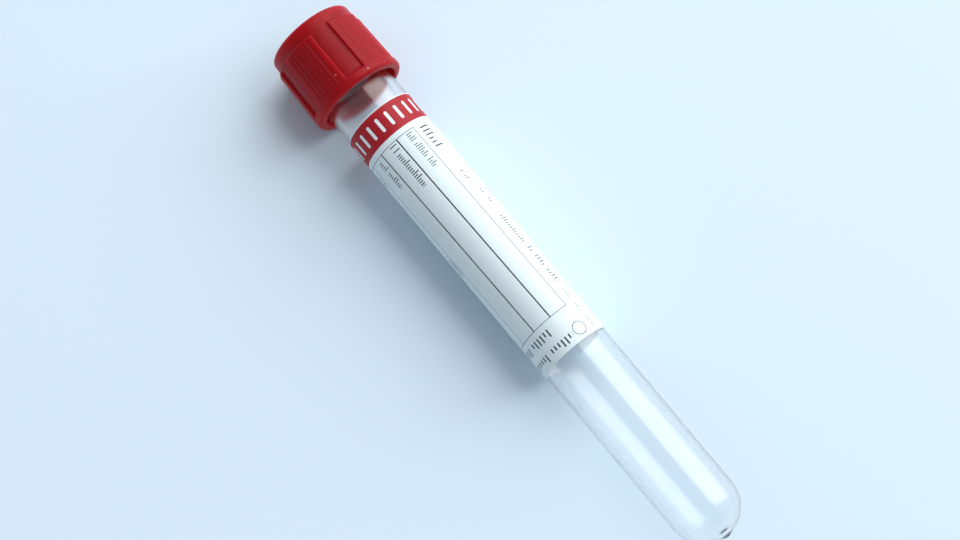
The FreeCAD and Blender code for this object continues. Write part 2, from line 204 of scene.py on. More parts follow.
class StopperSettings(bpy.types.PropertyGroup):
    """Sizes and look of the rubber stopper"""

    plug_depth: distance("Plug depth", 3.9, "How far the plug reaches into the tube")
    plug_clearance: distance("Plug clearance", 0.15, "Between the plug and the bore")
    web_clearance: distance("Web clearance", 0.1, "Between the plug and the hole in the web")
    bead_clearance: distance("Bead clearance", 0.03, "Between the sealing beads and the bore")
    bead_width: distance("Bead width", 0.8, "Sealing bead, at its foot")
    bead_crest: distance("Bead crest", 0.3, "Sealing bead, at its crest")
    bead_depth: distance("Bead depth", 1.1, "From the mouth to the first bead")
    bead_pitch: distance("Bead pitch", 1.5, "From one bead to the next")
    bead_count: count("Beads", 2, "Sealing beads round the plug")
    lead_in: distance("Lead-in", 0.45, "Slope on the end of the plug, across")
    lead_length: distance("Lead-in length", 0.7, "Slope on the end of the plug, along")
    lead_rounding: distance("Lead-in rounding", 0.12, "Edge between the slope and the end")
    flange: distance("Flange", 2, "Between the web and the ring")
    flange_clearance: distance("Flange clearance", 0.1, "Between the flange and the chamber")
    well_margin: distance("Well margin", 0.7, "From the edge of the port to the well")
    well_slope: distance("Well slope", 1.7, "Side of the needle well, across")
    well_depth: distance("Well depth", 1.2, "Side of the needle well, along")
    well_rounding: distance("Well rounding", 0.6, "Edge of the needle well's floor")
    hollow_wall: distance("Hollow wall", 2.1, "Plug round the hollow in its end")
    hollow_slope: distance("Hollow slope", 1, "Side of the hollow, across")
    hollow_depth: distance("Hollow depth", 2.2, "Side of the hollow, along")
    hollow_rounding: distance("Hollow rounding", 0.1, "Edge of the hollow")
    rubber: colour("Rubber", (0.19, 0.145, 0.14), "Warm grey rubber")
    roughness: amount("Roughness", 0.6, "Roughness of the rubber")
    grain: distance("Grain", 0.04, "Depth of the rubber's fine grain")


class RingSettings(bpy.types.PropertyGroup):
    """Sizes and look of the retaining ring"""

    thickness: distance("Thickness", 2.5, "Along the axis")
    clearance: distance("Clearance", 0.05, "Between the ring and the chamber")
    port_diameter: distance("Port diameter", 8.4, "Needle port through the ring")
    lead_in: distance("Lead-in", 0.5, "Slope at the mouth of the port")
    plastic: colour("Plastic", (0.018, 0.018, 0.02), "Black moulded plastic")
    roughness: amount("Roughness", 0.45, "Roughness of the black plastic")
    grain: distance("Grain", 0.02, "Depth of the plastic's fine grain")


class StageSettings(bpy.types.PropertyGroup):
    """Camera, lights and floor"""

    azimuth: angle("Azimuth", 231.14, "Of the camera, round the tube")
    elevation: angle("Elevation", 72.77, "Of the camera, above the floor")
    distance: distance("Distance", 398.1, "From the camera to the point it looks at")
    aim_ahead: distance("Aim ahead", 4.2, "Point looked at, towards the cap")
    aim_aside: distance("Aim aside", 3.4, "Point looked at, to the side of the tube")
    focal_length: amount("Focal length", 92.6, "Of the camera, in millimetres")
    window_azimuth: angle("Window azimuth", 8, "Direction of the large soft light")
    window_elevation: angle("Window elevation", 43, "Height of the large soft light")
    window_distance: distance("Window distance", 1200, "From the tube to the light")
    window_width: distance("Window width", 1740, "Width of the soft light")
    window_height: distance("Window height", 1500, "Height of the soft light")
    window_power: amount("Window power", 21.9, "Power of the soft light, in watts")
    room: colour("Room", (0.35, 0.35, 0.367), "Light from all round")
    ceiling: colour("Ceiling", (0.13, 0.14, 0.15), "What shiny surfaces show of the room above")
    backdrop: colour("Backdrop", (0.72, 0.86, 0.98), "Pale backdrop behind the floor")
    backdrop_top: angle("Backdrop top", 35, "Height at which the backdrop has faded out")
    floor_size: distance("Floor", 6000, "Width of the floor")
    floor: colour("Floor colour", (0.72, 0.87, 0.985), "Pale floor")
    floor_roughness: amount("Floor roughness", 0.9, "Roughness of the floor")
    floor_sheen: amount("Floor sheen", 0.1, "Strength of the floor's shine")


class BloodTubeSettings(bpy.types.PropertyGroup):
    """Settings of every piece and of the stage"""

    tube: PointerProperty(type=TubeSettings)
    label: PointerProperty(type=LabelSettings)
    cap: PointerProperty(type=CapSettings)
    stopper: PointerProperty(type=StopperSettings)
    ring: PointerProperty(type=RingSettings)
    stage: PointerProperty(type=StageSettings)


class Places:
    """Radii and heights that more than one piece needs. Heights of the tube and the label start at
    the tip of the tube's bottom, and those of the closure at its seat on the tube's mouth."""

    def __init__(self, settings):
        tube, cap, stopper, ring = settings.tube, settings.cap, settings.stopper, settings.ring
        self.settings = settings
        self.mouth = tube.mouth_diameter / 2
        self.bore = self.mouth - tube.wall
        self.seat = tube.length + cap.seat_gap
        self.skirt = self.mouth + cap.skirt_clearance
        self.plug = self.bore - stopper.plug_clearance
        self.web_hole = self.plug + stopper.web_clearance
        self.port = ring.port_diameter / 2
        self.flange_top = cap.web + stopper.flange
        self.ring_top = self.flange_top + ring.thickness
        self.cap_top = self.ring_top + cap.top_recess
        self.cap_rim = self.cap_top - cap.height
        self.chamber = self.band(self.cap_top) - cap.chamber_wall

    def outside(self, height):
        """Outer radius of the tube."""
        tube = self.settings.tube
        return self.mouth - (tube.length - height) * math.tan(tube.draft)

    def dome(self, radius, tip):
        """Radius of the ball that closes a drafted wall, with its lowest point at tip."""
        tube = self.settings.tube
        drop = tube.length - tip
        narrow = radius * math.cos(tube.draft) - drop * math.sin(tube.draft)
        return narrow / (1 - math.sin(tube.draft))

    def band(self, height):
        """Radius of the cap's plain band, and of the floor of its flutes."""
        cap = self.settings.cap
        return self.skirt + cap.skirt_wall - height * math.tan(cap.draft)

    def matrix(self, height):
        """Takes a piece from its own axis, with X up and Z towards the cap, to where it lies."""
        axis = Vector(frame["joints"][0]["axis"])
        port = next(m for m in frame["record"]["mounts"] if m["name"] == "needle_port")
        ring = self.settings.ring
        middle = self.seat + self.flange_top + (ring.thickness - ring.lead_in) / 2
        side = Vector((0, -1, 0))
        turned = Matrix((side.cross(axis), side, axis)).transposed()
        origin = Vector(port["pos_m"]) + axis * (height - middle)
        return Matrix.Translation(origin) @ turned.to_4x4()


def clamped(share):
    """A share kept from 0 to 1."""
    return min(max(share, 0), 1)


def soft_step(share):
    """A slope from 0 to 1 that starts and ends level."""
    share = clamped(share)
    return share * share * (3 - 2 * share)


def tinted(shade, share):
    """A colour made so much lighter or darker."""
    return [min(1, share * level) for level in shade]


class Turning:
    """A piece turned about its axis: an outline of radius and height that is swept round."""

    def __init__(self):
        self.mesh = bmesh.new()
        self.tip = None

    def start(self, radius, height):
        """Start the outline at a point."""
        self.tip = self.mesh.verts.new((radius, 0, height))

    def line(self, radius, height, steps=1):
        """Go straight on, in equal steps."""
        here, there = self.tip.co.copy(), Vector((radius, 0, height))
        for step in range(1, steps + 1):
            self.tip = bmesh.ops.extrude_vert_indiv(self.mesh, verts=[self.tip])["verts"][0]
            self.tip.co = here.lerp(there, step / steps)

    def arc(self, centre, turn, steps):
        """Go round a centre, to the left for a turn above 0."""
        spun = bmesh.ops.spin(
            self.mesh,
            geom=[self.tip],
            cent=(centre[0], 0, centre[1]),
            axis=(0, -1, 0),
            angle=turn,
            steps=steps,
        )
        self.tip = next(v for v in spun["geom_last"] if isinstance(v, bmesh.types.BMVert))

    def corner(self, at, onward, rounding, steps=4, before=1):
        """Go to a corner and round it towards the next one."""
        here, at = Vector((self.tip.co.x, self.tip.co.z)), Vector(at)
        back, ahead = (here - at).normalized(), (Vector(onward) - at).normalized()
        half = back.angle(ahead) / 2
        middle = at + (back + ahead).normalized() * rounding / math.sin(half)
        self.line(*(at + back * rounding / math.tan(half)), before)
        left = ahead.x * back.y - ahead.y * back.x > 0
        self.arc(middle, (math.pi - 2 * half) * (1 if left else -1), steps)

    def close(self):
        """Join the end of the outline to its start."""
        self.mesh.verts.ensure_lookup_table()
        self.mesh.edges.new((self.tip, self.mesh.verts[0]))

    def sweep(self, spans):
        """Sweep the outline round the axis, through spans of an angle and its steps."""
        ring = self.mesh.verts[:] + self.mesh.edges[:]
        for turn, steps in spans:
            swept = bmesh.ops.spin(
                self.mesh,
                geom=ring,
                cent=(0, 0, 0),
                axis=(0, 0, 1),
                angle=turn,
                steps=steps,
            )
            ring = swept["geom_last"]
        return ring

    def full_turn(self, steps):
        """Sweep the outline once round the axis, and shut its poles and its seam."""
        self.sweep([(math.tau, steps)])
        self.seal()

    def seal(self, reach=WELD):
        """Weld points that lie together, and face the surface outwards."""
        bmesh.ops.remove_doubles(self.mesh, verts=self.mesh.verts, dist=reach)
        bmesh.ops.recalc_face_normals(self.mesh, faces=self.mesh.faces)

    def rotate(self, turn):
        """Turn what is made so far about the axis."""
        rotation = Matrix.Rotation(turn, 3, "Z")
        bmesh.ops.rotate(self.mesh, cent=(0, 0, 0), matrix=rotation, verts=self.mesh.verts)

    def place(self, name, matrix, finishes, body, node, slot):
        """Finish the piece: smooth, in its place, on its body, in the stead of its CAD node."""
        bmesh.ops.transform(self.mesh, matrix=matrix, verts=self.mesh.verts)
        for face in self.mesh.faces:
            face.smooth = True
        data = bpy.data.meshes.new(name)
        self.mesh.to_mesh(data)
        self.mesh.free()
        data.set_sharp_from_angle(angle=SHARP_EDGE)
        for finish in finishes:
            data.materials.append(finish)
        piece = bpy.data.objects.new(name, data)
        bpy.context.scene.collection.objects.link(piece)
        weighted = piece.modifiers.new("Even shading", "WEIGHTED_NORMAL")
        weighted.keep_sharp = True
        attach(piece, body)
        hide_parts(node)


class Signal:
    """A value in a material. Arithmetic on it adds Math nodes."""

    def __init__(self, finish, socket):
        self.finish, self.socket = finish, socket

    def maths(self, operation, *values):
        """A Math node with these values."""
        settings = {"operation": operation}
        return self.finish.node("ShaderNodeMath", settings, dict(enumerate(values)))

    def __add__(self, other):
        return self.maths("ADD", self, other)

    __radd__ = __add__

    def __sub__(self, other):
        return self.maths("SUBTRACT", self, other)

    def __rsub__(self, other):
        return self.maths("SUBTRACT", other, self)

    def __mul__(self, other):
        return self.maths("MULTIPLY", self, other)

    __rmul__ = __mul__

    def __truediv__(self, other):
        return self.maths("DIVIDE", self, other)

    def __pow__(self, other):
        return self.maths("POWER", self, other)

    def __lt__(self, other):
        return self.maths("LESS_THAN", self, other)

    def __gt__(self, other):
        return self.maths("GREATER_THAN", self, other)

    def __and__(self, other):
        return self.maths("MINIMUM", self, other)

    def __or__(self, other):
        return self.maths("MAXIMUM", self, other)

    def __abs__(self):
        return self.maths("ABSOLUTE", self)

    def fraction(self):
        return self.maths("FRACT", self)

    def floor(self):
        return self.maths("FLOOR", self)

    def within(self, middle, reach):
        """1 closer than reach to the middle, and 0 beyond."""
        return abs(self - middle) < reach

    def between(self, low, high):
        """1 from low to high, and 0 outside."""
        return self.within((low + high) / 2, (high - low) / 2)


class Finish:
    """A material or a world, and its nodes."""

    def __init__(self, owner):
        self.owner = bpy.data.materials.new(owner) if isinstance(owner, str) else owner
        self.owner.use_nodes = True
        self.tree = self.owner.node_tree
        self.tree.nodes.clear()

    def node(self, kind, settings=None, values=None, output=0):
        """A node of a type, with its settings made first, then the values or links of its sockets."""
        made = self.tree.nodes.new(kind)
        for name, value in (settings or {}).items():
            setattr(made, name, value)
        for name, value in (values or {}).items():
            if isinstance(value, Signal):
                self.tree.links.new(value.socket, made.inputs[name])
            else:
                made.inputs[name].default_value = value
        return Signal(self, made.outputs[output]) if made.outputs else None

    def mixed(self, share, first, second):
        """A colour between two others."""
        first, second = (c if isinstance(c, Signal) else (*c[:3], 1) for c in (first, second))
        settings = {"data_type": "RGBA"}
        return self.node("ShaderNodeMix", settings, {0: share, 6: first, 7: second}, 2)

    def clouded(self, shade, cloud, first, second):
        """A colour that a pattern varies, from one share of itself to another."""
        return self.mixed(cloud, tinted(shade, first), tinted(shade, second))

    def place(self):
        """The place on the object, in metres."""
        return self.node("ShaderNodeTexCoord", output=3)

    def noise(self, scale, detail=2.0):
        """A soft pattern from 0 to 1, of so many patches to a metre."""
        values = {"Vector": self.place(), "Scale": scale, "Detail": detail}
        return self.node("ShaderNodeTexNoise", {}, values)

    def bump(self, height, depth, strength):
        """A normal that shows a height as relief, so deep."""
        values = {"Height": height, "Distance": depth, "Strength": strength}
        return self.node("ShaderNodeBump", {}, values)

    def surface(self, shader):
        """The finished material."""
        self.node("ShaderNodeOutputMaterial", {}, {"Surface": shader})
        return self.owner


def clear_plastic(settings):
    """Clear moulded plastic that lets light through to what is under it."""
    finish = Finish("clear_plastic")
    cloud = finish.noise(scale=40, detail=1.0)
    least = 1 - settings.unevenness / 2
    values = {
        "Base Color": (*settings.tint, 1),
        "Roughness": settings.roughness * (least + settings.unevenness * cloud),
        "IOR": settings.refraction,
        "Transmission Weight": 1.0,
    }
    body = finish.node("ShaderNodeBsdfPrincipled", {}, values)
    passing = finish.node("ShaderNodeBsdfTransparent", {}, {"Color": (*settings.shadow_tint, 1)})
    diffuse_ray = finish.node("ShaderNodeLightPath", output=2)
    shadow_ray = finish.node("ShaderNodeLightPath", output=1)
    bounced = finish.node("ShaderNodeMixShader", {}, {0: diffuse_ray, 1: body, 2: passing})
    return finish.surface(
        finish.node("ShaderNodeMixShader", {}, {0: shadow_ray, 1: bounced, 2: passing})
    )


class Print:
    """The printed side of the label as masks, in millimetres along it from its end at the cap, and
    across it from its middle."""

    # the form's lines, each across and its weight, and where they start and end
    RULES = ((2.0, 0.1), (-1.45, 0.22), (-5.0, 0.2), (-8.6, 0.1), (-11.9, 0.1))
    FORM = (6.1, 44.5)
    # start and end of the coloured band, and start, end, pitch and weight of the bars in it
    BAND = (0.15, 5.05)
    BARS = (1.2, 3.9, 1.9, 0.55)
    # start, end, low, high, pitch and weight of the strokes in each run
    RUNS = (
        (6.4, 13.5, 0.15, 1.35, 0.42, 0.15),
        (6.4, 15.0, -3.2, -1.9, 0.44, 0.19),
        (6.8, 12.3, -6.65, -5.5, 0.44, 0.17),
        (6.8, 10.0, -10.0, -9.2, 0.36, 0.12),
        (25.1, 29.6, -9.8, -8.9, 0.36, 0.12),
        (6.4, 11.4, 3.0, 4.8, 0.8, 0.24),
        (16.3, 18.5, 3.4, 4.4, 0.5, 0.14),
        (20.5, 23.7, 4.3, 5.4, 0.5, 0.15),
        (26.1, 32.2, 3.7, 4.9, 0.5, 0.14),
        (32.9, 40.4, 3.8, 5.1, 0.6, 0.16),
        (41.7, 49.6, 3.6, 4.2, 0.36, 0.11),
    )
    # the same for the runs across the label, whose start and end are across it
    CROSS_RUNS = ((-11.2, -3.1, 45.6, 47.0, 0.75, 0.26), (-11.2, -0.4, 48.4, 49.8, 0.75, 0.26))
    # along, across, radius and weight
    RING = (48.7, 1.1, 1.15, 0.12)
    SHORT_STROKE = 0.6  # height of a short stroke, as a share of a tall one
    SHORT_SHARE = 0.55  # of the strokes that are short
    GAP_SHARE = 0.12  # of the strokes that are left out
    SEED_STEPS = (17, 31)  # from run to run, along the label and across it
    SHEET = 100  # size of the map, in millimetres; its middle is the middle of the label

    def __init__(self, finish):
        self.finish = finish
        sheet = finish.node("ShaderNodeUVMap", {"uv_map": "film"})
        along, across = (finish.node("ShaderNodeSeparateXYZ", {}, {0: sheet}, n) for n in (0, 1))
        self.along, self.across = along * self.SHEET, across * self.SHEET - self.SHEET / 2

    def marks(self, ahead, aside, run, seed):
        """A run of short strokes of uneven height, which stand for small print."""
        start, end, low, high, pitch, weight = run
        cell = (ahead - start) / pitch
        settings, values = {"noise_dimensions": "1D"}, {"W": cell.floor() + seed}
        chance = self.finish.node("ShaderNodeTexWhiteNoise", settings, values)
        stem = cell.fraction().within(0.5, weight / pitch / 2)
        rise = (aside - low) / (high - low)
        height = self.SHORT_STROKE + (1 - self.SHORT_STROKE) * (chance > self.SHORT_SHARE)
        drawn = 1 - (chance < self.GAP_SHARE)
        return stem & drawn & (rise > 0) & (rise < height) & ahead.between(start, end)

    def rules(self):
        """The ruled form: lines along the label, shut at their ends."""
        (upper, weight), (lower, _) = self.RULES[0], self.RULES[-1]
        first, last = (self.along.within(end, weight / 2) for end in self.FORM)
        lines = (first | last) & self.across.between(lower, upper)
        for line, weight in self.RULES:
            rule = self.across.within(line, weight / 2)
            lines = lines | (rule & self.along.between(*self.FORM))
        return lines

    def ink(self):
        """All that is printed in dark ink: the form, the runs of strokes and the ring."""
        shapes = self.rules()
        step, cross_step = self.SEED_STEPS
        for number, run in enumerate(self.RUNS):
            shapes = shapes | self.marks(self.along, self.across, run, step * number)
        for number, run in enumerate(self.CROSS_RUNS):
            shapes = shapes | self.marks(self.across, self.along, run, cross_step * number)
        along, across, radius, weight = self.RING
        away = ((self.along - along) ** 2 + (self.across - across) ** 2) ** 0.5
        return shapes | away.within(radius, weight / 2)

    def band(self):
        """The coloured band, with a row of plain bars left white in it."""
        start, end, pitch, weight = self.BARS
        cell = (self.across / pitch + 0.5).fraction() - 0.5
        beyond = abs(self.along - (start + end) / 2) - (end - start - weight) / 2
        away = (((beyond | 0) ** 2) + (cell * pitch) ** 2) ** 0.5
        return self.along.between(*self.BAND) & (away > weight / 2)


def film_surface(finish, shade, roughness, settings, more=None):
    """Smooth film with a faint shine."""
    values = {"Base Color": shade, "Roughness": roughness, "Specular IOR Level": settings.sheen}
    return finish.node("ShaderNodeBsdfPrincipled", {}, values | (more or {}))


def printed_film(settings):
    """Printed side of the label: a coloured band, a ruled form and plain marks."""
    finish = Finish("printed_film")
    sheet = Print(finish)
    film = finish.clouded(settings.film, finish.noise(scale=700), 1.0, 0.97)
    shade = finish.mixed(sheet.band(), film, settings.band)
    shade = finish.mixed(sheet.ink(), shade, settings.ink)
    return finish.surface(film_surface(finish, shade, settings.roughness, settings))


def plain_film(settings):
    """Glued side of the label, which light reaches through the film."""
    finish = Finish("plain_film")
    shade = finish.clouded(settings.back, finish.noise(scale=900), 1.0, 0.95)
    through = {
        "Subsurface Weight": settings.glow,
        "Subsurface Radius": (1, 1, 1),
        "Subsurface Scale": settings.glow_reach,
    }
    roughness = settings.back_roughness
    return finish.surface(film_surface(finish, shade, roughness, settings, through))


def specks(finish, reach, apart):
    """1 on small specks, so far across, that lie scattered so far apart."""
    values = {"Vector": finish.place(), "Scale": 1 / apart}
    return finish.node("ShaderNodeTexVoronoi", {}, values) < reach / apart


def moulded(name, shade, settings, specks_on=None, more=None):
    """Moulded plastic or rubber with a fine grain, and with what else lies on it or in it."""
    finish = Finish(name)
    cloud = finish.noise(scale=260, detail=3.0)
    base = finish.clouded(shade, cloud, 0.93, 1.06)
    if specks_on:
        dust, size, spacing = specks_on
        base = finish.mixed(specks(finish, size, spacing), base, dust)
    unevenness = 0.1
    values = {
        "Base Color": base,
        "Roughness": settings.roughness + unevenness * (cloud - 0.5),
        "Normal": finish.bump(finish.noise(scale=5200), settings.grain, strength=0.4),
    }
    body = finish.node("ShaderNodeBsdfPrincipled", {}, values | (more or {}))
    return finish.surface(body)


def red_plastic(cap):
    """Red moulded plastic that some light passes through, with a few specks of dust."""
    values = {
        "Specular IOR Level": cap.sheen,
        "Subsurface Weight": cap.glow,
        "Subsurface Radius": tuple(cap.glow_tint),
        "Subsurface Scale": cap.glow_reach,
    }
    dust = (cap.dust, cap.dust_size, cap.dust_spacing)
    return moulded("red_plastic", cap.plastic, cap, dust, values)


class MakeTube(bpy.types.Operator):
    """Make the clear tube with its round bottom, its gate and its mouth"""

    bl_idname = "blood_tube.make_tube"
    bl_label = "Tube"

    def execute(self, context):
        settings = context.scene.blood_tube
        tube, places = settings.tube, Places(settings)
        flat, gate = tube.gate_flat / 2, tube.gate_diameter / 2
        inner_tip = tube.gate_height + tube.bottom
        outer, inner = places.dome(places.mouth, tube.gate_height), places.dome(places.bore, inner_tip)
        turning = Turning()
        turning.start(0, 0)
        shoulder = tube.gate_height + outer - math.sqrt(outer**2 - gate**2)
        turning.corner((flat, 0), (gate, shoulder), tube.gate_rounding, 6)
        turning.line(gate, shoulder)
        start = math.asin(gate / outer)
        outer_steps, inner_steps = DOME_STEPS
        turning.arc((0, tube.gate_height + outer), math.pi / 2 - tube.draft - start, outer_steps)
        edge = (places.mouth, tube.length)
        inside = (places.bore, tube.length)
        turning.corner(edge, inside, tube.mouth_rounding, 4, before=WALL_STEPS)
        down = (places.bore - math.tan(tube.draft) * tube.wall, tube.length - tube.wall)
        turning.corner(inside, down, tube.mouth_rounding, 4)
        low = inner_tip + inner * (1 - math.sin(tube.draft))
        turning.line(inner * math.cos(tube.draft), low, WALL_STEPS)
        turning.arc((0, inner_tip + inner), tube.draft - math.pi / 2, inner_steps)
        turning.full_turn(TUBE_STEPS)
        finish = clear_plastic(tube)
        turning.place("clear_tube", places.matrix(0), [finish], "tube", "tube", "clear_plastic")
        return {"FINISHED"}


class MakeLabel(bpy.types.Operator):
    """Make the printed film that is wrapped round the tube"""

    bl_idname = "blood_tube.make_label"
    bl_label = "Label"

    def execute(self, context):
        settings = context.scene.blood_tube
        label, places = settings.label, Places(settings)
        top = places.seat + places.cap_rim - label.below_cap
        low = top - label.length
        under_low, under_top = (places.outside(height) + label.glue for height in (low, top))
        steps_along, steps_round = FILM_STEPS
        turning = Turning()
        turning.start(under_low, low)
        turning.line(under_low + label.thickness, low)
        turning.line(under_top + label.thickness, top, steps_along)
        turning.line(under_top, top)
        turning.line(under_low, low, steps_along)
        turning.seal(OUTLINE_WELD)
        first = turning.mesh.edges[:]
        swept = turning.sweep([(label.wrap, steps_round)])
        last = [edge for edge in swept if isinstance(edge, bmesh.types.BMEdge)]
        bmesh.ops.holes_fill(turning.mesh, edges=first + last)
        turning.rotate(label.turn - label.wrap / 2)
        bmesh.ops.recalc_face_normals(turning.mesh, faces=turning.mesh.faces)
        self.unroll(turning.mesh, label, places, top)
        finishes = [printed_film(label), plain_film(label)]
        turning.place("label_film", places.matrix(0), finishes, "tube", "label", "label_film")
        return {"FINISHED"}

    def unroll(self, mesh, label, places, top):
        """Give the film its flat map, and turn it askew on the tube."""
        radius = places.outside(top - label.length / 2) + label.glue
        film = mesh.loops.layers.uv.new("film")
        scale = 1000 / Print.SHEET
        slope = math.tan(label.askew)
        flat = {}
        for vert in mesh.verts:
            turn = math.atan2(vert.co.y, vert.co.x) - label.turn
            turn = (turn + math.pi) % math.tau - math.pi
            flat[vert] = (top - vert.co.z, turn * radius)
        for face in mesh.faces:
            for loop in face.loops:
                along, across = flat[loop.vert]
                loop[film].uv = (along * scale, across * scale + 0.5)
            middle = face.calc_center_median()
            out = Vector((middle.x, middle.y, 0)).normalized()
            face.material_index = int(face.normal.dot(out) < -0.5)
        for vert, (along, across) in flat.items():
            vert.co.z += slope * across
            shift = slope * (along - label.length / 2) / radius
            vert.co.xy = Matrix.Rotation(shift, 2) @ vert.co.xy
            spread = places.outside(vert.co.z) - places.outside(vert.co.z - slope * across)
            vert.co.xy *= 1 + spread / vert.co.xy.length


class MakeCap(bpy.types.Operator):
    """Make the red cap: its band, ribbed pads, flutes, collar, skirt, web and snap lip"""

    bl_idname = "blood_tube.make_cap"
    bl_label = "Cap"

    def execute(self, context):
        settings = context.scene.blood_tube
        cap, places = settings.cap, Places(settings)
        rim, top = places.cap_rim, places.cap_top
        foot, collar = top - cap.pad_start, rim + cap.collar
        lip_top = places.ring_top + cap.lip_height
        lip = places.chamber - cap.lip_width
        outline = Turning()
        crest = places.band(rim) + cap.pad_depth
        outline.start(places.skirt, rim + cap.inner_rounding)
        outline.corner((places.skirt, rim), (crest, rim), cap.inner_rounding, 5)
        slope = (places.band(collar) + cap.pad_depth, collar)
        outline.corner((crest, rim), slope, cap.rim_rounding, 8)
        for height, steps in (
            (collar, 1),
            (collar + cap.flute_run_out, 10),
            (foot - cap.valley_fade - cap.pad_depth, 6),
            (foot, 14),
        ):
            outline.line(places.band(height) + cap.pad_depth, height, steps)
        outline.line(places.band(foot), foot)
        outline.corner((places.band(top), top), (places.chamber, top), cap.top_rounding, 8, 2)
        outline.line(places.chamber, top)
        outline.line(places.chamber, lip_top + cap.lip_slope)
        outline.line(lip, lip_top)
        outline.line(lip, places.ring_top)
        outline.line(places.chamber, places.ring_top)
        outline.line(places.chamber, cap.web)
        outline.line(places.web_hole, cap.web)
        outline.line(places.web_hole, 0)
        outline.line(places.skirt, 0)
        outline.line(places.skirt, rim + cap.inner_rounding, 4)
        outline.seal(OUTLINE_WELD)
        self.round_trip(outline, cap, cap.pad_edge / places.skirt)
        self.press_grip(outline.mesh, cap, places, collar, foot)
        outline.seal()
        outline.rotate(cap.turn)
        finish = red_plastic(cap)
        matrix = places.matrix(places.seat)
        outline.place("red_cap", matrix, [finish], "closure", "cap", "red_plastic")
        return {"FINISHED"}

    def round_trip(self, outline, cap, edge):
        """Sweep the outline once round, from the middle of a flute, with close steps at its edges."""
        pitch = math.tau / cap.pad_count
        ribbed = cap.rib_pitch * (cap.rib_count + 1)
        half = cap.flute_angle / 2
        early, late = edge / 5, edge * 1.2  # the close steps reach a little past the edge's rounding
        plain = (pitch - ribbed) / 2 - half - late
        side = [(half - early, 4), (early + late, 16), (plain, 2)]
        ribs = (ribbed, (cap.rib_count + 1) * RIB_STEPS)
        outline.sweep((side + [ribs] + side[::-1]) * cap.pad_count)
        outline.seal()

    def press_grip(self, mesh, cap, places, collar, foot):
        """Press the flutes and the valleys between the ribs into the outer side of the cap."""
        pitch = math.tau / cap.pad_count
        first = pitch / 2 - cap.rib_pitch * cap.rib_count / 2
        for vert in mesh.verts:
            height, radius = vert.co.z, vert.co.xy.length
            band = places.band(height)
            if height < places.cap_rim + cap.rim_rounding or radius < band + cap.pad_depth - WELD:
                continue
            turn = abs((math.atan2(vert.co.y, vert.co.x) + pitch / 2) % pitch - pitch / 2)
            aside = (turn - cap.flute_angle / 2) * radius
            around = (turn - first) / cap.rib_pitch
            off = (around - min(max(round(around), 0), cap.rib_count)) * cap.rib_pitch * radius
            raised = self.raised(aside, height - collar, foot - height, cap)
            valley = self.valley(off, height - collar, foot - height, cap)
            vert.co.xy *= (band + cap.pad_depth * raised - valley) / radius

    def raised(self, aside, above, below, cap):
        """Share of the pads' height at a point of the outer side: so far into the pad from the side
        of the flute, above the collar, and below the foot of the pads."""
        side = math.sqrt(1 - (1 - clamped(aside / cap.pad_edge)) ** 2)
        run_out = soft_step(1 - above / cap.flute_run_out)
        return soft_step(below / cap.pad_depth) * (side + (1 - side) * run_out)

    def valley(self, off, above, below, cap):
        """Depth of a valley beside a rib: so far off its middle, above the collar and below the
        foot of the pads."""
        if abs(off) >= cap.valley_radius:
            return 0
        cut = math.sqrt(cap.valley_radius**2 - off**2) - cap.valley_radius + cap.valley_depth
        ends = min(above, below - cap.pad_depth) / cap.valley_fade
        return max(cut, 0) * math.sin(clamped(ends) * math.pi / 2)


class MakeStopper(bpy.types.Operator):
    """Make the grey rubber stopper with its beads, its needle well and its hollow"""

    bl_idname = "blood_tube.make_stopper"
    bl_label = "Stopper"

    def execute(self, context):
        settings = context.scene.blood_tube
        stopper, cap, tube = settings.stopper, settings.cap, settings.tube
        places = Places(settings)
        top = places.flange_top
        end = -cap.seat_gap - stopper.plug_depth
        flange = places.chamber - stopper.flange_clearance
        hollow = places.plug - stopper.hollow_wall
        well = places.port - stopper.well_margin
        last = stopper.bead_depth + stopper.bead_pitch * (stopper.bead_count - 1)
        crest = places.bore - last * math.tan(tube.draft) - stopper.bead_clearance
        outline = Turning()
        outline.start(0, end + stopper.hollow_depth)
        outline.line(hollow - stopper.hollow_slope, end + stopper.hollow_depth)
        outline.corner((hollow, end), (places.plug, end), stopper.hollow_rounding, 3)
        lead = (places.plug, end + stopper.lead_length)
        outline.corner((places.plug - stopper.lead_in, end), lead, stopper.lead_rounding, 3)
        outline.line(*lead)
        for bead in reversed(range(stopper.bead_count)):
            middle = -cap.seat_gap - stopper.bead_depth - stopper.bead_pitch * bead
            outline.line(places.plug, middle - stopper.bead_width / 2)
            outline.line(crest, middle - stopper.bead_crest / 2)
            outline.line(crest, middle + stopper.bead_crest / 2)
            outline.line(places.plug, middle + stopper.bead_width / 2)
        outline.line(places.plug, cap.web)
        outline.line(flange, cap.web)
        outline.line(flange, top)
        outline.line(well, top)
        well_floor = top - stopper.well_depth
        foot = (well - stopper.well_slope, well_floor)
        outline.corner(foot, (0, well_floor), stopper.well_rounding, 5)
        outline.line(0, well_floor)
        outline.full_turn(ROUND_STEPS)
        finish = moulded("grey_rubber", stopper.rubber, stopper)
        matrix = places.matrix(places.seat)
        outline.place("rubber_stopper", matrix, [finish], "closure", "stopper", "grey_rubber")
        return {"FINISHED"}


